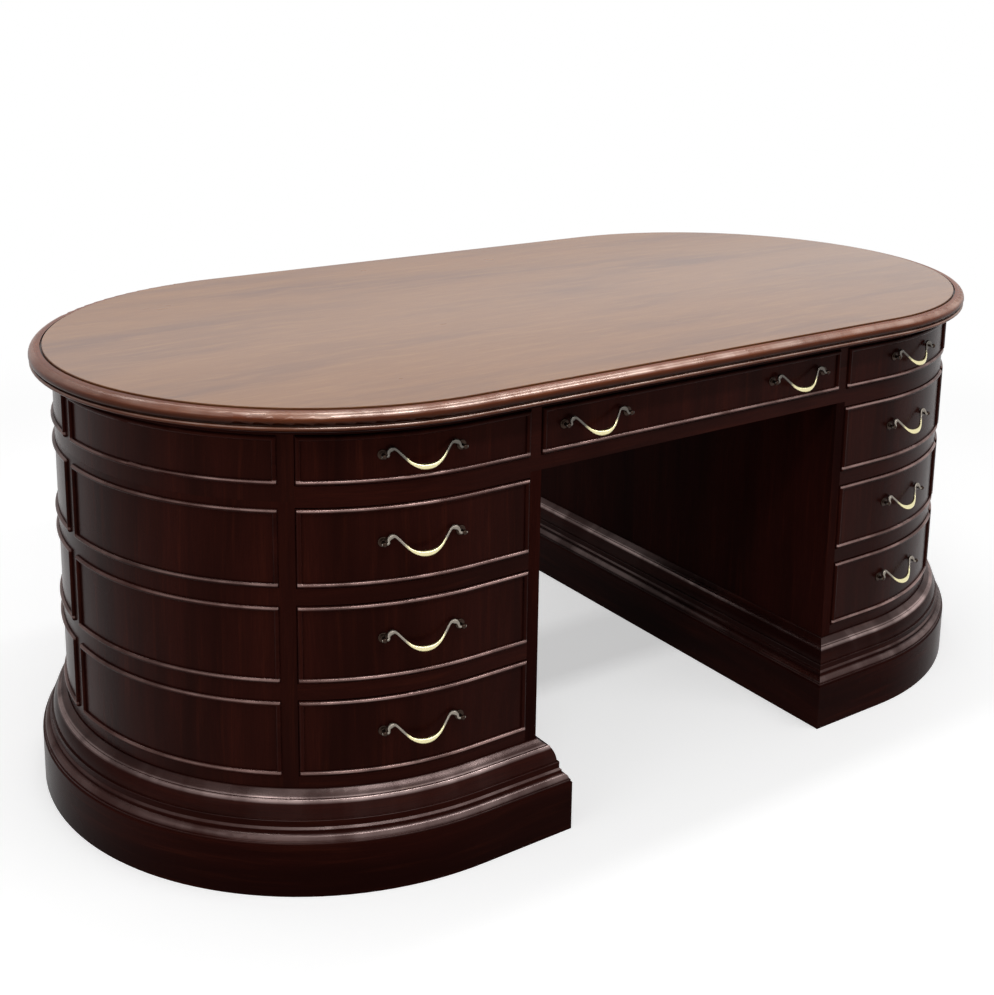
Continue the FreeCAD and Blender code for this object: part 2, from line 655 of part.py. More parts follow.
def bail():
    """Swan-neck bail in local axes, standing out from the front: pins, bends, domes and belly."""
    pin_in = PIVOT_HALF_SPAN - POST_BALL_RADIUS - BAIL_SHOULDER_GAP
    pin_out = PIVOT_HALF_SPAN + POST_BALL_RADIUS + BAIL_SHOULDER_GAP / 2
    hump = V(pin_in - BAIL_BEND_RADIUS - BAIL_HUMP_RADIUS, BAIL_BEND_RADIUS, 0)
    slope = math.radians(BAIL_NECK_SLOPE)
    down = V(-math.cos(slope), -math.sin(slope), 0)
    neck = hump + BAIL_HUMP_RADIUS * V(-math.sin(slope), math.cos(slope), 0)
    shoulder = neck + BAIL_NECK_LENGTH * down
    belly_radius = shoulder.x / math.sin(slope)
    belly = V(0, shoulder.y + belly_radius * math.cos(slope), 0)

    dome = arc_rings(hump, BAIL_HUMP_RADIUS, 0, 90 + BAIL_NECK_SLOPE, BAIL_DOME_RADIUS)
    dome.append(Part.Wire(Part.makeCircle(BAIL_NECK_RADIUS, (neck + shoulder) / 2, down)))
    far_dome = [mirrored(ring) for ring in reversed(dome)]
    low = arc_rings(belly, belly_radius, BAIL_NECK_SLOPE - 90, -BAIL_NECK_SLOPE - 90,
                    BAIL_BELLY_RADIUS)
    rod = Part.makeLoft(dome + low + far_dome, True)
    ring = Part.Face(Part.Wire(Part.makeCircle(BAIL_NECK_RADIUS, V(pin_in, 0, 0), V(1, 0, 0))))
    right = [
        Part.makeCylinder(PIN_RADIUS, pin_out - pin_in, V(pin_in, 0, 0), V(1, 0, 0)),
        ring.revolve(V(pin_in, BAIL_BEND_RADIUS, 0), UP, -90),
    ]
    whole = rod.fuse(right + [mirrored(piece) for piece in right]).Solids[0]
    whole.rotate(V(0, 0, 0), V(1, 0, 0), -BAIL_REST_TILT)
    return whole


def drawer(low, high, inner_x, outer_x, back_y, handles):
    """Front with beads, box and posts of one drawer. inner_x below zero spans the middle."""
    spans_middle = inner_x < 0
    last = outer_x if spans_middle else at_angle(FRONT_COLUMN_ANGLE)
    board = sweep(box_section(R_FRONT, R_BODY, low, high), inner_x,
                  last if spans_middle else last + PANEL_THICKNESS)
    past_end = box(outer_x, TOP_LENGTH, -R_TOP, 0, low - MARGIN, high + MARGIN)
    board = board.cut(past_end).Solids[0]
    posts = []
    hole_length = 2 * FRONT_THICKNESS
    hole = Part.makeCylinder(STUD_RADIUS + STUD_HOLE_CLEARANCE, hole_length,
                             V(0, 0, -1.5 * FRONT_THICKNESS))
    holes = []
    for handle in handles:
        posts += post_pieces(handle, board)
        holes += [moved(hole, place) for place in handle.posts]
    board = board.cut(holes).Solids[0]
    front = [board] + bead_frame(inner_x, last, low, high)

    side_low = low - FRONT_GAP + BOX_RUNNER_GAP
    side_high = high - BOX_TOP_DROP
    edge = BOX_SIDE_GAP - FRONT_GAP
    x0 = inner_x + edge
    x1 = outer_x - edge
    inside = half_plan(R_FRONT, x0 - MARGIN, side_low, side_high)
    floor_low = side_low + BOX_BOTTOM_RISE
    pieces = [
        box(x0, x0 + BOX_WALL, -R_BODY, back_y, side_low, side_high),
        box(x1 - BOX_WALL, x1, -R_BODY, back_y, side_low, side_high),
        box(x0 + BOX_WALL, x1 - BOX_WALL, back_y - BOX_WALL, back_y,
            floor_low, side_high - BOX_BACK_DROP),
        box(x0 + BOX_WALL, x1 - BOX_WALL, -R_BODY, back_y - BOX_WALL,
            floor_low, floor_low + BOX_BOTTOM_THICKNESS),
    ]
    return front, [piece.common(inside).Solids[0] for piece in pieces], posts


def side_drawers():
    ring = bail()
    station = (FRONT_INNER_X + at_angle(FRONT_COLUMN_ANGLE)) / 2
    levels = [("lower", ROWS[0]), ("middle", ROWS[1]), ("upper", ROWS[2])]
    levels = [(f"{name}_drawer", low, low + ROW_HEIGHT) for name, low in levels]
    levels.append(("frieze_drawer", Z_FRIEZE_FRONT, Z_FRIEZE_FRONT_TOP))
    for name, low, high in levels:
        handle = Handle(station, (low + high) / 2)
        front, case, posts = drawer(low, high, FRONT_INNER_X, FRONT_OUTER_X, BOX_BACK_Y, [handle])
        both_sides(f"{name}_front", front)
        both_sides(f"{name}_box", case)
        both_sides(f"{name}_posts", posts)
        both_sides(f"{name}_bail", [moved(ring, handle.axis)])


def centre_drawer():
    low, high = Z_FRIEZE_FRONT, Z_FRIEZE_FRONT_TOP
    handles = [Handle(x, (low + high) / 2) for x in (CENTRE_HANDLE_X, -CENTRE_HANDLE_X)]
    front, case, posts = drawer(low, high, -KNEE_X, KNEE_X, CENTRE_BOX_BACK_Y, handles)
    export("centre_drawer_front", front)
    export("centre_drawer_box", case)
    export("centre_drawer_posts", posts)
    for side, handle in zip(("right", "left"), handles):
        export(f"centre_drawer_bail_{side}", [moved(bail(), handle.axis)])


os.makedirs("parts", exist_ok=True)
top_board()
top_edge_moulding()
cove_moulding()
frieze()
drawer_runners()
pedestal()
plinth()
plinth_moulding()
side_drawers()
centre_drawer()
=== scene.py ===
"""Captains desk: polished mahogany, antique brass, and a plain pale studio round them."""
import math

import bmesh
import bpy
from mathutils import Matrix, Vector


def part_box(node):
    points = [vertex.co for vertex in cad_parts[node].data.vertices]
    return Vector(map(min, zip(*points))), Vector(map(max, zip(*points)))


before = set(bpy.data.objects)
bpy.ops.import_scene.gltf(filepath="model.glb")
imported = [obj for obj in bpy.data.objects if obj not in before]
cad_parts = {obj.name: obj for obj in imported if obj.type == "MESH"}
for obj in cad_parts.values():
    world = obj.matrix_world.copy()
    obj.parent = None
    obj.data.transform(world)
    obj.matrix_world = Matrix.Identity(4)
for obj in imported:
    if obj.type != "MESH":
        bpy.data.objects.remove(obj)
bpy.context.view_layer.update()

bl_info = {
    "name": "Captains Desk",
    "version": (1, 0, 0),
    "blender": (4, 5, 0),
    "location": "View3D > Sidebar > Desk",
    "description": "Finishes a captains desk in mahogany and brass and sets it in a studio",
    "category": "Object",
}

# Plan of the body, read from the frame: a straight middle between two half-round ends, the round of
# the top's polished field, and half the width of the kneehole
SHELL_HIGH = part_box("right_pedestal_shell")[1]
ROUND = SHELL_HIGH.y
MIDDLE = SHELL_HIGH.x - ROUND
FIELD_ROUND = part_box("top_board")[1].y
KNEEHOLE = -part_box("left_pedestal_inner_side")[1].x

SIDES = ("left", "right")
ROWS = ("lower", "middle", "upper", "frieze")
SIDE_DRAWERS = [f"{side}_{row}_drawer" for side in SIDES for row in ROWS]
DRAWERS = SIDE_DRAWERS + ["centre_drawer"]
BAILS = [f"{drawer}_bail" for drawer in SIDE_DRAWERS] + [f"centre_drawer_bail_{side}" for side in SIDES]

# Metres in a millimetre, and the width of a bead
MM = 0.001
BEAD = 8.0 * MM

# Share of painted shade, or of painted highlight, by height on the mouldings: (millimetres over the
# foot, share)
# Painted shade in the quirks and under the round of the top's edge
EDGE_SHADE = ((0.0, 0.7), (3.0, 0.4), (6.0, 0.3), (7.0, 0.9), (11.0, 0.9), (16.0, 0.6), (21.0, 0.0),
            (28.0, 0.0))
# Painted highlight on the bead and the upper shoulder of the top's edge
EDGE_HIGHLIGHT = ((0.0, 0.0), (3.5, 0.0), (5.2, 0.7), (7.0, 0.7), (7.4, 0.0), (19.0, 0.0), (23.5, 0.88),
              (27.0, 0.88), (28.0, 0.1))
# Painted highlights on the plinth moulding's members that face up
PLINTH_HIGHLIGHT = ((0.0, 0.0), (2.2, 0.05), (3.0, 0.30), (4.0, 0.08), (7.0, 0.30), (12.0, 0.34),
                (14.0, 0.08), (15.0, 0.0), (18.5, 0.0), (19.5, 0.22), (22.0, 0.22), (22.5, 0.0),
                (32.0, 0.0), (33.0, 0.25), (34.0, 0.02), (55.0, 0.02), (57.5, 0.60), (58.5, 1.0),
                (62.0, 1.0), (63.2, 0.22), (70.0, 0.18), (72.0, 0.03))
# Painted highlight in a thin line along the cove
COVE_HIGHLIGHT = ((0.0, 0.0), (2.5, 0.0), (3.0, 0.2), (3.5, 0.0), (14.0, 0.0))

# The painted highlight thins out over this stretch of the length, by this share, and by another in the
# shaded kneehole
END_FROM, END_TO = 0.69, 0.89
END_HIGHLIGHT_LOSS = 0.68
KNEEHOLE_HIGHLIGHT_LOSS = 0.6

# Tint of the painted highlight, and the index of refraction that gives its strength
EDGE_HIGHLIGHT_TINT = (1.0, 0.80, 0.70)
MOULDING_HIGHLIGHT_TINT = (1.0, 0.76, 0.72)
BEAD_HIGHLIGHT_TINT = (1.0, 0.66, 0.60)
MOULDING_HIGHLIGHT_IOR = 2.8
BEAD_HIGHLIGHT_IOR = 2.15

# Strength of the thin polish on the stained wood
PANEL_POLISH = 0.045
FRIEZE_POLISH = 0.06
# Almost no polish on the kneehole sides, as painted shade, so that they stay dark
KNEEHOLE_SHADE_POLISH = 0.006
UNDER_POLISH = 0.012
PLINTH_POLISH = 0.014
MOULDING_POLISH = 0.02

# Depth of the pores in the wood and of the grit of the cast brass
PORE_DEPTH = 0.4 * MM
GRIT_DEPTH = 0.3 * MM

# Reach of the floor from the middle of the desk, the stretch over which it fades to white, and the
# lengths and widths of the soft lights, in metres
FLOOR_REACH = 30.0
FADE_FROM, FADE_TO = 1.7, 3.0
STRIP_SIZE = (3.6, 0.2)
WINDOW_SIZE = (2.2, 2.0)
WHITE = (1.0, 1.0, 1.0)


class Socket:
    """An output of a node tree, on which sums and comparisons add Math nodes."""

    def __init__(self, shop, output):
        self.shop = shop
        self.output = output

    def part(self, name):
        """Another output of the same node."""
        return Socket(self.shop, self.output.node.outputs[name])

    def __add__(self, other):
        return self.shop.maths("ADD", self, other)

    __radd__ = __add__

    def __sub__(self, other):
        return self.shop.maths("SUBTRACT", self, other)

    def __rsub__(self, other):
        return self.shop.maths("SUBTRACT", other, self)

    def __mul__(self, other):
        return self.shop.maths("MULTIPLY", self, other)

    __rmul__ = __mul__

    def __truediv__(self, other):
        return self.shop.maths("DIVIDE", self, other)

    def __rtruediv__(self, other):
        return self.shop.maths("DIVIDE", other, self)

    def __pow__(self, other):
        return self.shop.maths("POWER", self, other)

    def __abs__(self):
        return self.shop.maths("ABSOLUTE", self)

    def __gt__(self, other):
        return self.shop.maths("GREATER_THAN", self, other)

    def __lt__(self, other):
        return self.shop.maths("LESS_THAN", self, other)


class Shop:
    """Adds nodes to one node tree."""

    def __init__(self, tree):
        self.tree = tree
        tree.nodes.clear()

    def node(self, kind, settings=(), sockets=()):
        """Add a node of a type, set its settings and then its sockets, and give its first output."""
        node = self.tree.nodes.new(kind)
        for name, value in dict(settings).items():
            if name == "stops":
                self.set_stops(node.color_ramp, value)
            else:
                setattr(node, name, value)
        for name, value in dict(sockets).items():
            target = node.inputs[name]
            if isinstance(value, Socket):
                self.tree.links.new(value.output, target)
            elif target.type == "RGBA":
                target.default_value = (*value, 1.0)
            else:
                target.default_value = value
        return Socket(self, node.outputs[0]) if node.outputs else None

    @staticmethod
    def set_stops(ramp, stops):
        """Give a ramp its stops of (place, grey), from low to high."""
        ramp.elements.remove(ramp.elements[1])
        ramp.elements[0].position = stops[0][0]
        for place, grey in stops[1:]:
            ramp.elements.new(place)
        for element, (place, grey) in zip(ramp.elements, stops):
            element.color = (grey, grey, grey, 1.0)

    def maths(self, operation, *values):
        """A Math node of one operation on these values."""
        return self.node("ShaderNodeMath", {"operation": operation}, enumerate(values))

    def between(self, value, low, high):
        """0 below low, 1 above high and an easy slope between them."""
        return self.node("ShaderNodeMapRange", {"interpolation_type": "SMOOTHSTEP"},
                         {"Value": value, "From Min": low, "From Max": high})

    def mix(self, share, first, second, blend="MIX"):
        """A colour between two, by a share from 0 to 1."""
        mixed = self.node("ShaderNodeMix", {"data_type": "RGBA", "blend_type": blend},
                          {0: share, 6: first, 7: second})
        return mixed.part(2)

    def streaks(self, place, along, across, detail=3.0, seed=0.0):
        """Noise drawn out along the grain: so many per metre along it and across it."""
        vector = self.node("ShaderNodeCombineXYZ", (), {
            "X": place[0] * along + seed, "Y": place[1] * across, "Z": place[2] * across + seed})
        return self.node("ShaderNodeTexNoise", (), {
            "Vector": vector, "Scale": 1.0, "Detail": detail, "Roughness": 0.55})

    def position(self):
        """The piece's own x, y and z in metres."""
        place = self.node("ShaderNodeTexCoord").part("Object")
        split = self.node("ShaderNodeSeparateXYZ", (), {0: place})
        return split, split.part("Y"), split.part("Z")


def unrolled(shop, whole_back):
    """Place on the desk's wall, unrolled: along the outline, up, and outwards.

    With whole_back the outline runs on without a break from each end to the back, for a piece
    that is bent in one. Without it every straight length starts afresh, as its own board."""
    x, y, z = shop.position()
    side = shop.maths("SIGN", x)
    past = shop.maths("MAXIMUM", abs(x) - MIDDLE, 0.0)
    turn = shop.maths("ARCTAN2", past, -1.0 * y)
    out = (past * past + y * y) ** 0.5
    if whole_back:
        short = shop.maths("MINIMUM", abs(x), MIDDLE) - MIDDLE
        along = side * (MIDDLE + turn * ROUND - shop.maths("SIGN", y) * short)
    else:
        bend = past > 0.0
        along = bend * side * (MIDDLE + turn * ROUND) + (1.0 - bend) * x
    return along, z, out


class DeskWood(bpy.types.PropertyGroup):
    """Colours and grain of the timber."""

    top_dark: bpy.props.FloatVectorProperty(
        name="Top, dark grain", description="Darkest bands of the top's figure",
        subtype="COLOR", min=0.0, max=1.0, default=(0.150, 0.046, 0.011))
    top_mid: bpy.props.FloatVectorProperty(
        name="Top, body", description="Usual colour of the polished top",
        subtype="COLOR", min=0.0, max=1.0, default=(0.282, 0.108, 0.022))
    top_light: bpy.props.FloatVectorProperty(
        name="Top, light grain", description="Palest bands of the top's figure",
        subtype="COLOR", min=0.0, max=1.0, default=(0.370, 0.162, 0.040))
    edge_dark: bpy.props.FloatVectorProperty(
        name="Edge, dark grain", description="Darkest bands of the moulding round the top",
        subtype="COLOR", min=0.0, max=1.0, default=(0.070, 0.014, 0.005))
    edge_mid: bpy.props.FloatVectorProperty(
        name="Edge, body", description="Usual colour of the moulding round the top",
        subtype="COLOR", min=0.0, max=1.0, default=(0.200, 0.044, 0.011))
    edge_light: bpy.props.FloatVectorProperty(
        name="Edge, light grain", description="Palest bands of the moulding round the top",
        subtype="COLOR", min=0.0, max=1.0, default=(0.300, 0.085, 0.022))
    body_dark: bpy.props.FloatVectorProperty(
        name="Body, dark grain", description="Darkest grain of the stained body",
        subtype="COLOR", min=0.0, max=1.0, default=(0.012, 0.0028, 0.0022))
    body_mid: bpy.props.FloatVectorProperty(
        name="Body, stain", description="Usual colour of the stained body",
        subtype="COLOR", min=0.0, max=1.0, default=(0.030, 0.0060, 0.0042))
    body_light: bpy.props.FloatVectorProperty(
        name="Body, light grain", description="Palest grain of the stained body",
        subtype="COLOR", min=0.0, max=1.0, default=(0.090, 0.018, 0.009))
    lining_dark: bpy.props.FloatVectorProperty(
        name="Lining, dark grain", description="Dark grain of the drawer boxes and runners",
        subtype="COLOR", min=0.0, max=1.0, default=(0.170, 0.080, 0.036))
    lining_light: bpy.props.FloatVectorProperty(
        name="Lining, light grain", description="Pale grain of the drawer boxes and runners",
        subtype="COLOR", min=0.0, max=1.0, default=(0.400, 0.235, 0.125))
    figure: bpy.props.FloatProperty(
        name="Figure", description="Broad bands of figure in each metre across the grain",
        min=1.0, max=40.0, default=9.0)


class DeskBrass(bpy.types.PropertyGroup):
    """Colours of the handles."""

    bright: bpy.props.FloatVectorProperty(
        name="Rubbed brass", description="Brass where hands keep it bright",
        subtype="COLOR", min=0.0, max=1.0, default=(0.82, 0.75, 0.44))
    # Painted shade along the underside of a bail's belly
    underside_shade: bpy.props.FloatVectorProperty(
        name="Deep brass", description="Brass along the underside of a bail's belly",
        subtype="COLOR", min=0.0, max=1.0, default=(0.40, 0.31, 0.12))
    aged: bpy.props.FloatVectorProperty(
        name="Aged brass", description="Brass under a thin grey patina, on the domes and necks",
        subtype="COLOR", min=0.0, max=1.0, default=(0.26, 0.23, 0.195))
    # Painted shade: the handles on the frieze, under the overhang, are darkened with this in place of
    # the aged brass
    shaded: bpy.props.FloatVectorProperty(
        name="Shaded brass", description="Brass under a thick patina, on the frieze under the overhang",
        subtype="COLOR", min=0.0, max=1.0, default=(0.12, 0.108, 0.095))
    dark: bpy.props.FloatVectorProperty(
        name="Dark brass", description="Brass under an old brown patina, on the posts",
        subtype="COLOR", min=0.0, max=1.0, default=(0.038, 0.024, 0.018))
    rubbed_reach: bpy.props.FloatProperty(
        name="Rubbed reach", description="Half length of the bright belly of a bail",
        unit="LENGTH", min=0.0, max=0.1, default=0.032)


class DeskStage(bpy.types.PropertyGroup):
    """Camera, lights and floor."""

    eye: bpy.props.FloatVectorProperty(
        name="Camera", description="Place of the camera", subtype="TRANSLATION", unit="LENGTH",
        default=(-1.6763, -2.2760, 1.4208))
    yaw: bpy.props.FloatProperty(
        name="Yaw", description="Turn of the camera from the straight front view, to the right",
        subtype="ANGLE", default=math.radians(36.269))
    pitch: bpy.props.FloatProperty(
        name="Pitch", description="Dip of the camera below the horizon",
        subtype="ANGLE", default=math.radians(12.482))
    roll: bpy.props.FloatProperty(
        name="Roll", description="Lean of the camera, anticlockwise",
        subtype="ANGLE", default=math.radians(1.206))
    lens: bpy.props.FloatProperty(
        name="Lens", description="Focal length on a sensor 36 mm long, in millimetres",
        min=1.0, default=53.62)
    drift: bpy.props.FloatProperty(
        name="Lens shift, sideways", description="Shift of the lens to the right, in picture heights",
        default=-0.0432)
    rise: bpy.props.FloatProperty(
        name="Lens shift, upwards", description="Upward shift of the lens, in picture heights",
        default=-0.2085)
    floor: bpy.props.FloatVectorProperty(
        name="Floor", description="Colour of the floor", subtype="COLOR", min=0.0, max=1.0,
        default=(0.80, 0.80, 0.80))
    floor_lift: bpy.props.FloatProperty(
        name="Floor lift", description="Share of white that is added to the floor where it is seen",
        min=0.0, max=1.0, default=0.50)
    front_power: bpy.props.FloatProperty(
        name="Front strip", description="Power of the strip light over the sitter, in watts",
        min=0.0, default=30.0)
    middle_power: bpy.props.FloatProperty(
        name="Middle strip", description="Power of the strip light over the desk, in watts",
        min=0.0, default=16.0)
    back_power: bpy.props.FloatProperty(
        name="Back strip", description="Power of the strip light behind the desk, in watts",
        min=0.0, default=18.0)
    window_power: bpy.props.FloatProperty(
        name="Window light", description="Power of the soft light on the left, in watts",
        min=0.0, default=15.0)
    surround: bpy.props.FloatProperty(
        name="Surround", description="Even light from all round",
        min=0.0, max=1.0, default=0.30)


def new_finish(name):
    """An empty material and the shop that fills it."""
    material = bpy.data.materials.new(name)
    material.use_nodes = True
    return material, Shop(material.node_tree)


def finish(shop, shader):
    """Join a shader to the material's output."""
    shop.node("ShaderNodeOutputMaterial", (), {"Surface": shader})


def principled(shop, sockets):
    """Principled shader with these sockets."""
    return shop.node("ShaderNodeBsdfPrincipled", (), sockets)


def pores(shop, place, seed):
    """Short dark vessel lines along the grain, 0 on plain wood and 1 in a pore."""
    return shop.between(shop.streaks(place, 60.0, 1500.0, 2.0, seed), 0.60, 0.72)


def polished_grain(shop, place, colours, bands, seed):
    """Colour, relief and smear of clear mahogany: broad figure, short ribbons, flecks and pores."""
    dark, mid, light = colours
    along, across, depth = place
    sway = shop.streaks(place, 2.2, 3.0, 2.0, seed) * 0.05
    swayed = (along, across + sway, depth)
    figure = shop.streaks(swayed, 1.7, bands, 3.0, seed + 3.0)
    ribbon = shop.streaks(swayed, 7.0, 55.0, 4.0, seed + 7.0)
    fleck = shop.streaks(swayed, 26.0, 240.0, 2.0, seed + 9.0)
    fibre = shop.streaks(swayed, 26.0, 420.0, 3.0, seed + 11.0)
    vessel = pores(shop, swayed, seed + 13.0)
    colour = shop.mix(shop.between(figure, 0.18, 0.62), dark, mid)
    colour = shop.mix(shop.between(ribbon, 0.44, 0.80) * 0.55, colour, light)
    colour = shop.mix(shop.between(fleck, 0.60, 0.74) * 0.40, colour, light)
    colour = shop.mix(shop.between(fibre, 0.30, 0.60) * 0.25, colour, dark)
    colour = shop.mix(vessel * 0.5, colour, dark)
    smear = shop.streaks(place, 5.0, 9.0, 3.0, seed + 17.0)
    relief = shop.node("ShaderNodeBump", (), {
        "Strength": 0.06, "Distance": PORE_DEPTH, "Height": fibre - vessel * 0.6})
    return colour, relief, smear


def stained_grain(shop, place, wood, seed):
    """Colour, relief and smear of dark stained mahogany."""
    along, across, depth = place
    sway = shop.streaks(place, 2.5, 4.0, 2.0, seed) * 0.03
    swayed = (along, across + sway, depth)
    figure = shop.streaks(swayed, 1.3, wood.figure * 1.4, 3.0, seed + 3.0)
    ribbon = shop.streaks(swayed, 5.0, 90.0, 4.0, seed + 7.0)
    fibre = shop.streaks(swayed, 18.0, 520.0, 3.0, seed + 11.0)
    vessel = pores(shop, swayed, seed + 13.0)
    colour = shop.mix(shop.between(figure, 0.28, 0.66), wood.body_dark, wood.body_mid)
    colour = shop.mix(shop.between(ribbon, 0.50, 0.80) * 0.25, colour, wood.body_light)
    colour = shop.mix(shop.between(fibre, 0.35, 0.65) * 0.35, colour, wood.body_dark)
    colour = shop.mix(vessel * 0.5, colour, wood.body_dark)
    smear = shop.streaks(place, 7.0, 7.0, 3.0, seed + 17.0)
    relief = shop.node("ShaderNodeBump", (), {
        "Strength": 0.10, "Distance": PORE_DEPTH, "Height": fibre - vessel * 0.6})
    return colour, relief, smear


def lacquer(shop, grain, coat, coat_roughness):
    """Shader of clear wood under a French polish."""
    colour, relief, smear = grain
    return principled(shop, {
        "Base Color": colour,
        "Roughness": 0.24 + smear * 0.12,
        "Specular IOR Level": 0.05,
        "Normal": relief,
        "Coat Weight": coat,
        "Coat Roughness": coat_roughness,
        "Coat IOR": 1.5,
    })


def satin(shop, grain, polish):
    """Shader of stained boards under a thin rubbed polish."""
    colour, relief, smear = grain
    return principled(shop, {
        "Base Color": colour,
        "Roughness": 0.18 + smear * 0.16,
        "Specular IOR Level": polish,
        "Specular Tint": (1.0, 0.32, 0.22),
        "Normal": relief,
    })


def painted_highlight(shop, grain, tint, highlight_ior):
    """Painted highlight for the high members: a strong, tinted reflection standing in for the overhead
    light they catch, with the grain filled smooth.
    """
    colour, relief, smear = grain
    return principled(shop, {
        "Base Color": colour,
        "Roughness": 0.16 + smear * 0.20,
        "IOR": highlight_ior,
        "Specular IOR Level": 1.0,
        "Specular Tint": tint,
    })


def blend(shop, share, first, second):
    """Mix of two shaders by a share from 0 to 1."""
    return shop.node("ShaderNodeMixShader", (), {0: share, 1: first, 2: second})


def broken_highlight(shop, place, seed):
    """Share of the painted highlight along a member, which comes and goes."""
    return 0.35 + 0.65 * shop.between(shop.streaks(place, 14.0, 4.0, 3.0, seed), 0.34, 0.66)


def highlight_less_at_ends(shop):
    """Share of the painted highlight along the desk: full on the long sides and a third of it at the
    ends, which take less of the light.
    """
    return 1.0 - END_HIGHLIGHT_LOSS * shop.between(abs(shop.position()[0]), END_FROM, END_TO)


def kneehole_return(shop):
    """1 along the kneehole, on the inner side of the line of the plinth's mitre, and 0 past it."""
    x, y, z = shop.position()
    return shop.between((KNEEHOLE - abs(x)) - (abs(y) - ROUND), -0.5 * MM, 0.5 * MM)


def field_finish(name, place_of, wood, seed):
    """Polished field of the top, its polish a little thinner towards the back, with painted shade on its
    rim by the groove.
    """
    material, shop = new_finish(name)
    place = place_of(shop)
    colour, relief, smear = polished_grain(
        shop, place, (wood.top_dark, wood.top_mid, wood.top_light), wood.figure, seed)
    # Painted shade: the field is darkened and dulled along its rim, where it drops into the groove
    groove_shade = shop.between(unrolled(shop, False)[2], FIELD_ROUND - 1.6 * MM, FIELD_ROUND - 0.8 * MM)
    colour = shop.mix(groove_shade * 0.6, colour, wood.edge_dark)
    coat = (0.55 + smear * 0.18 - 0.24 * shop.between(place[1], -0.10, 0.50)) * (1.0 - groove_shade * 0.6)
    finish(shop, lacquer(shop, (colour, relief, smear), coat, 0.05))
    return material


def edge_finish(name, place_of, wood, seed):
    """Moulding round the top: painted shade in its quirks and under its round, and a painted highlight
    on its shoulder and its bead.
    """
    material, shop = new_finish(name)
    place = place_of(shop)
    colour, relief, smear = polished_grain(
        shop, place, (wood.edge_dark, wood.edge_mid, wood.edge_light), wood.figure, seed)
    # Painted shade: the groove and the underside of the round are darkened towards the dark stain and
    # dulled
    groove = 1.0 - shop.between(place[2], FIELD_ROUND + 2.8 * MM, FIELD_ROUND + 3.4 * MM)
    painted_shade = shop.maths("MAXIMUM", groove * 0.85, members(shop, place, "top_edge_moulding", EDGE_SHADE))
    grain = shop.mix(painted_shade, colour, wood.body_dark), relief, smear
    # Painted highlight on the shoulder and the bead
    share = members(shop, place, "top_edge_moulding", EDGE_HIGHLIGHT) * broken_highlight(shop, place, seed)
    share = share * highlight_less_at_ends(shop) * (1.0 - groove)
    plain = lacquer(shop, grain, (0.10 + smear * 0.08) * (1.0 - painted_shade * 0.8), 0.25)
    finish(shop, blend(shop, share, plain, painted_highlight(shop, grain, EDGE_HIGHLIGHT_TINT, MOULDING_HIGHLIGHT_IOR)))
    return material


def board_finish(name, place_of, wood, seed, polish):
    """Stained boards and panels."""
    material, shop = new_finish(name)
    finish(shop, satin(shop, stained_grain(shop, place_of(shop), wood, seed), polish))
    return material


def moulding_finish(name, place_of, wood, seed, piece, stops):
    """Stained moulding, with a painted highlight on the members that face up, and less of it in the
    shaded kneehole.
    """
    material, shop = new_finish(name)
    place = place_of(shop)
    grain = stained_grain(shop, place, wood, seed)
    # Painted highlight on the members that face up, less at the ends and in the kneehole
    share = members(shop, place, piece, stops) * broken_highlight(shop, place, seed) * highlight_less_at_ends(shop)
    share = share * (1.0 - KNEEHOLE_HIGHLIGHT_LOSS * kneehole_return(shop))
    plain = satin(shop, grain, MOULDING_POLISH)
    finish(shop, blend(shop, share, plain, painted_highlight(shop, grain, MOULDING_HIGHLIGHT_TINT, MOULDING_HIGHLIGHT_IOR)))
    return material


def beaded_finish(name, grain_of, wood, seed):
    """Stained fronts and loose beads, with a painted highlight on the upper half of the level beads."""
    material, shop = new_finish(name)
    place = bent_place(shop)
    grain = stained_grain(shop, grain_of(shop), wood, seed)
    # Painted highlight on the upper half of the level beads
    share = bead_highlight_bands(shop, place) * broken_highlight(shop, place, seed) * highlight_less_at_ends(shop)
    plain = satin(shop, grain, PANEL_POLISH)
    finish(shop, blend(shop, share, plain, painted_highlight(shop, grain, BEAD_HIGHLIGHT_TINT, BEAD_HIGHLIGHT_IOR)))
    return material


def lining_finish(name, place_of, wood, seed):
    """Plain satin timber of the drawer boxes, runners and inner boards."""
    material, shop = new_finish(name)
    place = place_of(shop)
    figure = shop.streaks(place, 1.5, 26.0, 3.0, seed)
    fibre = shop.streaks(place, 16.0, 380.0, 4.0, seed + 5.0)
    colour = shop.mix(shop.between(figure, 0.30, 0.70), wood.lining_dark, wood.lining_light)
    colour = shop.mix(shop.between(fibre, 0.40, 0.70) * 0.45, colour, wood.lining_dark)
    relief = shop.node("ShaderNodeBump", (), {
        "Strength": 0.2, "Distance": PORE_DEPTH, "Height": fibre})
    finish(shop, principled(shop, {
        "Base Color": colour,
        "Roughness": 0.45 + fibre * 0.2,
        "Specular IOR Level": 0.35,
        "Normal": relief,
    }))
    return material


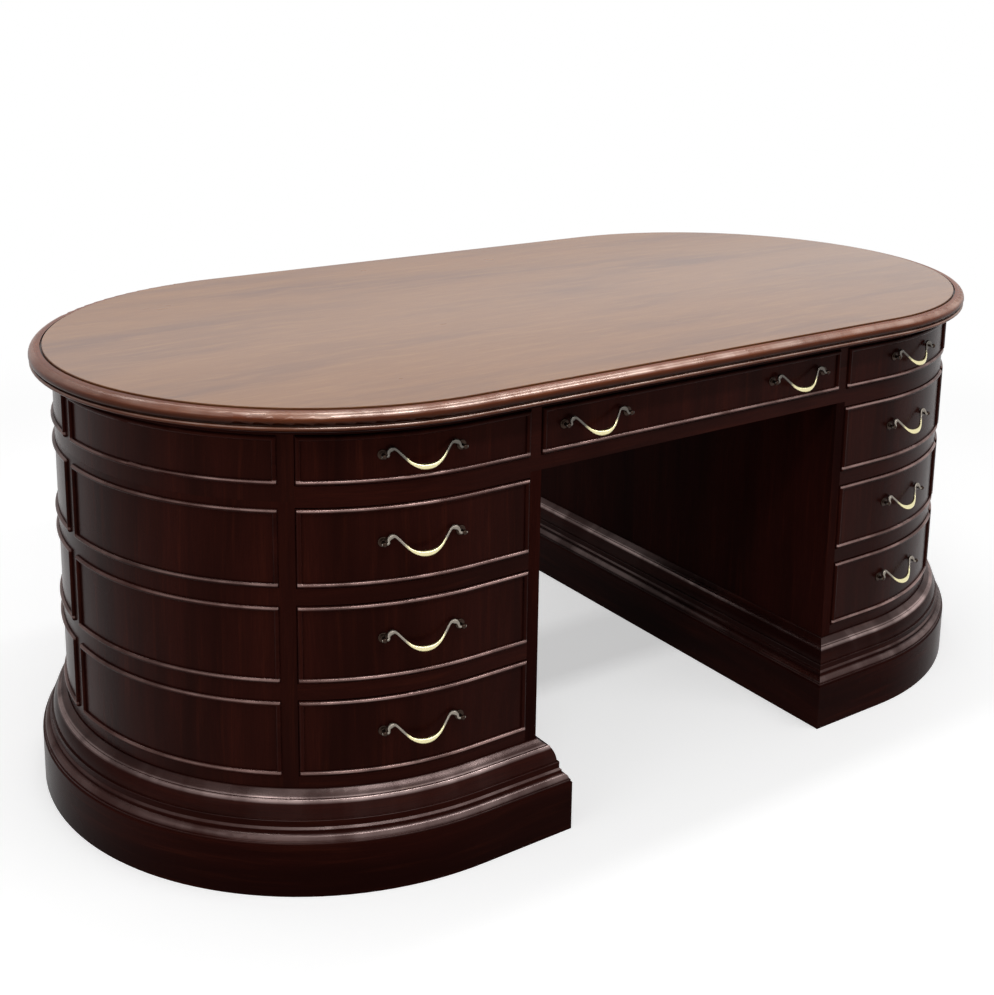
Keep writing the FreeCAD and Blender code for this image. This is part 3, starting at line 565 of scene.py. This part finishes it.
def brass_finish(name, metal, dull, bail=None):
    """Cast brass under a patina. A bail's belly is rubbed bright by hands, and has painted shade, a
    deeper brass, along its underside.
    """
    material, shop = new_finish(name)
    place = shop.position()
    cloud = shop.streaks(place, 160.0, 160.0, 4.0)
    grit = shop.streaks(place, 1400.0, 1400.0, 2.0, 5.0)
    rubbed = 0.1
    if bail:
        low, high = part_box(bail)
        from_middle = abs(place[0] - (low.x + high.x) / 2)
        reach = metal.rubbed_reach
        rubbed = 1.0 - shop.between(from_middle, reach * 0.6, reach * 1.3)
    clean = shop.between(rubbed + (cloud - 0.5) * 0.7, 0.2, 0.8)
    colour = shop.mix(clean, dull, metal.bright)
    if bail:
        # Painted shade: deeper brass along the underside of the belly
        above_underside_shade = shop.between(place[2], low.z + 1.2 * MM, low.z + 4.8 * MM)
        colour = shop.mix(above_underside_shade, metal.underside_shade, colour)
    relief = shop.node("ShaderNodeBump", (), {
        "Strength": 0.20, "Distance": GRIT_DEPTH, "Height": cloud + grit * 0.4})
    finish(shop, principled(shop, {
        "Base Color": colour,
        "Metallic": 1.0,
        "Roughness": 0.36 - clean * 0.12 + grit * 0.06,
        "Normal": relief,
    }))
    return material


def field_place(shop):
    """Grain along the desk's length on flat boards."""
    return shop.position()


def length_place(shop):
    """Grain that follows each length of a moulding round the outline."""
    return unrolled(shop, False)


def bent_place(shop):
    """Grain round the outline of a panel that is bent in one."""
    return unrolled(shop, True)


def veneer_place(shop):
    """Grain that stands upright on a veneered panel or front, round the outline."""
    along, up, out = unrolled(shop, True)
    return up, along, out


def plinth_place(shop):
    """Grain round the outline, and from front to back on the kneehole returns."""
    x, y, z = shop.position()
    along, up, out = unrolled(shop, True)
    inward = kneehole_return(shop)
    return inward * y + (1.0 - inward) * along, up, inward * abs(x) + (1.0 - inward) * out


def upright_place(shop):
    """Grain that stands upright on a side board."""
    x, y, z = shop.position()
    return z, y, x


def depth_place(shop):
    """Grain from front to back."""
    x, y, z = shop.position()
    return y, z, x


def members(shop, place, piece, stops):
    """Share of painted shade or painted highlight by the height over a moulding's foot."""
    low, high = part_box(piece)
    tall = high.z - low.z
    stops = [(rise * MM / tall, share) for rise, share in stops]
    return shop.node("ShaderNodeValToRGB", {"stops": stops}, {0: (place[1] - low.z) / tall})


def bead_highlight_bands(shop, place):
    """Painted highlight: 1 on the upper half of the level beads. Those at the head of the frieze are
    under the overhang, so they get none.
    """
    share = 0.0
    for row in ROWS:
        low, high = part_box(f"left_{row}_drawer_front")
        for top in (low.z + BEAD, high.z)[:1 if row == "frieze" else 2]:
            rise = shop.between(place[1], top - BEAD * 0.60, top - BEAD * 0.35)
            share = share + rise * (place[1] < top + BEAD * 0.05)
    return share * shop.between(place[2], ROUND + 0.2 * MM, ROUND + 0.6 * MM)


def dress(material, names):
    """Give CAD pieces a finish in their own material slots."""
    for name in names:
        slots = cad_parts[name].material_slots
        if not slots:
            raise RuntimeError(f"{name} has no material slot")
        for slot in slots:
            slot.material = material


class DESK_OT_top(bpy.types.Operator):
    """Polish the top board and the moulding round its edge"""

    bl_idname = "desk.top"
    bl_label = "Polish the top"

    def execute(self, context):
        wood = context.scene.desk_wood
        dress(field_finish("Top_Field", field_place, wood, seed=2.0), ["top_board"])
        dress(edge_finish("Top_Edge", length_place, wood, seed=31.0), ["top_edge_moulding"])
        return {"FINISHED"}


class DESK_OT_body(bpy.types.Operator):
    """Stain and polish the frieze, the pedestals and their mouldings"""

    bl_idname = "desk.body"
    bl_label = "Stain the body"

    def execute(self, context):
        wood = context.scene.desk_wood
        shells = [f"{side}_pedestal_shell" for side in SIDES]
        inner_sides = [f"{side}_pedestal_inner_side" for side in SIDES]
        rails = [f"{side}_pedestal_front_frame" for side in SIDES] + ["frieze_front_frame"]
        beads = [f"{side}_pedestal_panel_beads" for side in SIDES] + ["frieze_panel_beads"]
        cove = "cove_moulding"
        dress(board_finish("Shell_Mahogany", veneer_place, wood, 41.0, PANEL_POLISH), shells)
        dress(board_finish("Frieze_Mahogany", veneer_place, wood, 53.0, FRIEZE_POLISH),
              ["frieze_panels"])
        dress(board_finish("Rail_Mahogany", bent_place, wood, 61.0, PANEL_POLISH), rails)
        # Painted shade: the kneehole sides take almost no polish
        dress(board_finish("Side_Mahogany", upright_place, wood, 71.0, KNEEHOLE_SHADE_POLISH), inner_sides)
        dress(board_finish("Under_Mahogany", field_place, wood, 77.0, UNDER_POLISH),
              ["frieze_bottom_board"])
        dress(beaded_finish("Bead_Mahogany", bent_place, wood, seed=83.0), beads)
        dress(moulding_finish("Cove_Mahogany", length_place, wood, 91.0, cove, COVE_HIGHLIGHT), [cove])
        return {"FINISHED"}


class DESK_OT_plinths(bpy.types.Operator):
    """Stain and polish the plinth boards and the stepped moulding over them"""

    bl_idname = "desk.plinths"
    bl_label = "Stain the plinths"

    def execute(self, context):
        wood = context.scene.desk_wood
        boards = [f"{side}_plinth_frame" for side in SIDES]
        mouldings = [f"{side}_plinth_moulding" for side in SIDES]
        dress(board_finish("Plinth_Mahogany", plinth_place, wood, 103.0, PLINTH_POLISH), boards)
        dress(moulding_finish("Plinth_Moulding_Mahogany", plinth_place, wood, 113.0, mouldings[0],
                              PLINTH_HIGHLIGHT), mouldings)
        return {"FINISHED"}


class DESK_OT_drawers(bpy.types.Operator):
    """Polish the drawer fronts and line the boxes and runners"""

    bl_idname = "desk.drawers"
    bl_label = "Finish the drawers"

    def execute(self, context):
        wood = context.scene.desk_wood
        fronts = [f"{drawer}_front" for drawer in DRAWERS]
        boxes = [f"{drawer}_box" for drawer in DRAWERS]
        inner = ["drawer_runners", "frieze_partitions"] + [f"{side}_pedestal_boards" for side in SIDES]
        dress(beaded_finish("Front_Mahogany", veneer_place, wood, seed=127.0), fronts)
        dress(lining_finish("Box_Timber", depth_place, wood, seed=131.0), boxes)
        dress(lining_finish("Inner_Timber", depth_place, wood, seed=139.0), inner)
        return {"FINISHED"}


class DESK_OT_handles(bpy.types.Operator):
    """Give the bails and their posts aged brass, bright where hands rub it"""

    bl_idname = "desk.handles"
    bl_label = "Age the handles"

    def execute(self, context):
        brass = context.scene.desk_brass
        posts = [f"{drawer}_posts" for drawer in DRAWERS]
        dress(brass_finish("Post_Brass", brass, brass.dark), posts)
        for bail in BAILS:
            # Painted shade: the frieze handles, under the overhang, get the darker brass
            under = "frieze" in bail or "centre" in bail
            dull = brass.shaded if under else brass.aged
            dress(brass_finish(f"Bail_Brass_{bail}", brass, dull, bail), [bail])
        return {"FINISHED"}


def soft_light(name, place, aim, size, power):
    """A soft light of a length and a width at a place, turned to a point."""
    data = bpy.data.lights.new(name, "AREA")
    data.shape = "RECTANGLE"
    data.size, data.size_y = size
    data.energy = power
    light = bpy.data.objects.new(name, data)
    light.location = place
    light.rotation_euler = (Vector(aim) - Vector(place)).to_track_quat("-Z", "Y").to_euler()
    bpy.context.scene.collection.objects.link(light)


def seen(shop):
    """1 for rays that show the background: straight to the camera, by gloss or through glass."""
    path = shop.node("ShaderNodeLightPath")
    shown = shop.maths("MAXIMUM", path.part("Is Camera Ray"), path.part("Is Glossy Ray"))
    return shop.maths("MAXIMUM", shown, path.part("Is Transmission Ray"))


class DESK_OT_stage(bpy.types.Operator):
    """Set the floor, the soft lights, the white surround and the camera"""

    bl_idname = "desk.stage"
    bl_label = "Set the stage"

    def execute(self, context):
        stage = context.scene.desk_stage
        self.add_floor(stage)
        self.light_surround(context.scene, stage)
        soft_light("Front_Strip", (0.0, -1.7, 2.7), (0.0, -0.4, 0.4), STRIP_SIZE, stage.front_power)
        soft_light("Middle_Strip", (0.0, -0.1, 2.9), (0.0, -0.1, 0.4), STRIP_SIZE, stage.middle_power)
        soft_light("Back_Strip", (0.0, 1.6, 2.7), (0.0, 0.4, 0.4), STRIP_SIZE, stage.back_power)
        soft_light("Window_Light", (-3.6, -0.8, 1.8), (-0.4, 0.0, 0.4), WINDOW_SIZE, stage.window_power)
        self.place_camera(context.scene, stage)
        return {"FINISHED"}

    @staticmethod
    def add_floor(stage):
        """Pale floor that fades to white away from the desk and keeps the desk's shadow."""
        form = bmesh.new()
        bmesh.ops.create_grid(form, x_segments=1, y_segments=1, size=FLOOR_REACH)
        mesh = bpy.data.meshes.new("Floor")
        form.to_mesh(mesh)
        form.free()
        floor = bpy.data.objects.new("Floor", mesh)
        bpy.context.scene.collection.objects.link(floor)
        material, shop = new_finish("Floor_Pale")
        x, y, z = shop.position()
        away = shop.between((x * x + y * y) ** 0.5, FADE_FROM, FADE_TO)
        matt = shop.node("ShaderNodeBsdfDiffuse", (), {"Color": stage.floor})
        lift = shop.node("ShaderNodeEmission", (), {"Color": WHITE, "Strength": stage.floor_lift})
        white = shop.node("ShaderNodeEmission", (), {"Color": WHITE, "Strength": 1.0})
        lifted = shop.node("ShaderNodeAddShader", (), {0: matt, 1: lift})
        faded = blend(shop, away, lifted, white)
        finish(shop, blend(shop, seen(shop), matt, faded))
        mesh.materials.append(material)

    @staticmethod
    def light_surround(scene, stage):
        """Even light from all round, which shows as white."""
        world = bpy.data.worlds.new("Surround")
        world.use_nodes = True
        scene.world = world
        shop = Shop(world.node_tree)
        soft = shop.node("ShaderNodeBackground", (), {"Color": WHITE, "Strength": stage.surround})
        white = shop.node("ShaderNodeBackground", (), {"Color": WHITE, "Strength": 1.0})
        shop.node("ShaderNodeOutputWorld", (), {"Surface": blend(shop, seen(shop), soft, white)})

    @staticmethod
    def place_camera(scene, stage):
        """Camera at its place, turned by its yaw, pitch and roll."""
        ahead = Vector((math.sin(stage.yaw) * math.cos(stage.pitch),
                        math.cos(stage.yaw) * math.cos(stage.pitch), -math.sin(stage.pitch)))
        level = Vector((math.cos(stage.yaw), -math.sin(stage.yaw), 0.0))
        upright = level.cross(ahead)
        right = level * math.cos(stage.roll) + upright * math.sin(stage.roll)
        up = upright * math.cos(stage.roll) - level * math.sin(stage.roll)
        data = bpy.data.cameras.new("Camera")
        data.sensor_width = 36.0
        data.lens = stage.lens
        data.shift_x = stage.drift
        data.shift_y = stage.rise
        camera = bpy.data.objects.new("Camera", data)
        axes = Matrix((right, up, -ahead)).transposed()
        camera.matrix_world = Matrix.Translation(stage.eye) @ axes.to_4x4()
        scene.collection.objects.link(camera)
        scene.camera = camera
        scene.view_settings.view_transform = "Standard"


OPERATORS = (DESK_OT_top, DESK_OT_body, DESK_OT_plinths, DESK_OT_drawers, DESK_OT_handles,
             DESK_OT_stage)


class DESK_PT_sidebar(bpy.types.Panel):
    """Lists the desk's finishes and the steps that apply them"""

    bl_label = "Captains Desk"
    bl_idname = "DESK_PT_sidebar"
    bl_space_type = "VIEW_3D"
    bl_region_type = "UI"
    bl_category = "Desk"

    def draw(self, context):
        scene = context.scene
        for group in (scene.desk_wood, scene.desk_brass, scene.desk_stage):
            box = self.layout.box()
            for name in group.__annotations__:
                box.prop(group, name)
        for operator in OPERATORS:
            self.layout.operator(operator.bl_idname)


GROUPS = {"desk_wood": DeskWood, "desk_brass": DeskBrass, "desk_stage": DeskStage}


def register():
    """Add the desk's settings, steps and panel to Blender."""
    for group in GROUPS.values():
        bpy.utils.register_class(group)
    for name, group in GROUPS.items():
        setattr(bpy.types.Scene, name, bpy.props.PointerProperty(type=group))
    for operator in OPERATORS:
        bpy.utils.register_class(operator)
    bpy.utils.register_class(DESK_PT_sidebar)


def unregister():
    """Take them out again."""
    bpy.utils.unregister_class(DESK_PT_sidebar)
    for operator in reversed(OPERATORS):
        bpy.utils.unregister_class(operator)
    for name in GROUPS:
        delattr(bpy.types.Scene, name)
    for group in reversed(GROUPS.values()):
        bpy.utils.unregister_class(group)


def main():
    """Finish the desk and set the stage."""
    register()
    bpy.ops.desk.top()
    bpy.ops.desk.body()
    bpy.ops.desk.plinths()
    bpy.ops.desk.drawers()
    bpy.ops.desk.handles()
    bpy.ops.desk.stage()


if __name__ == "__main__":
    main()
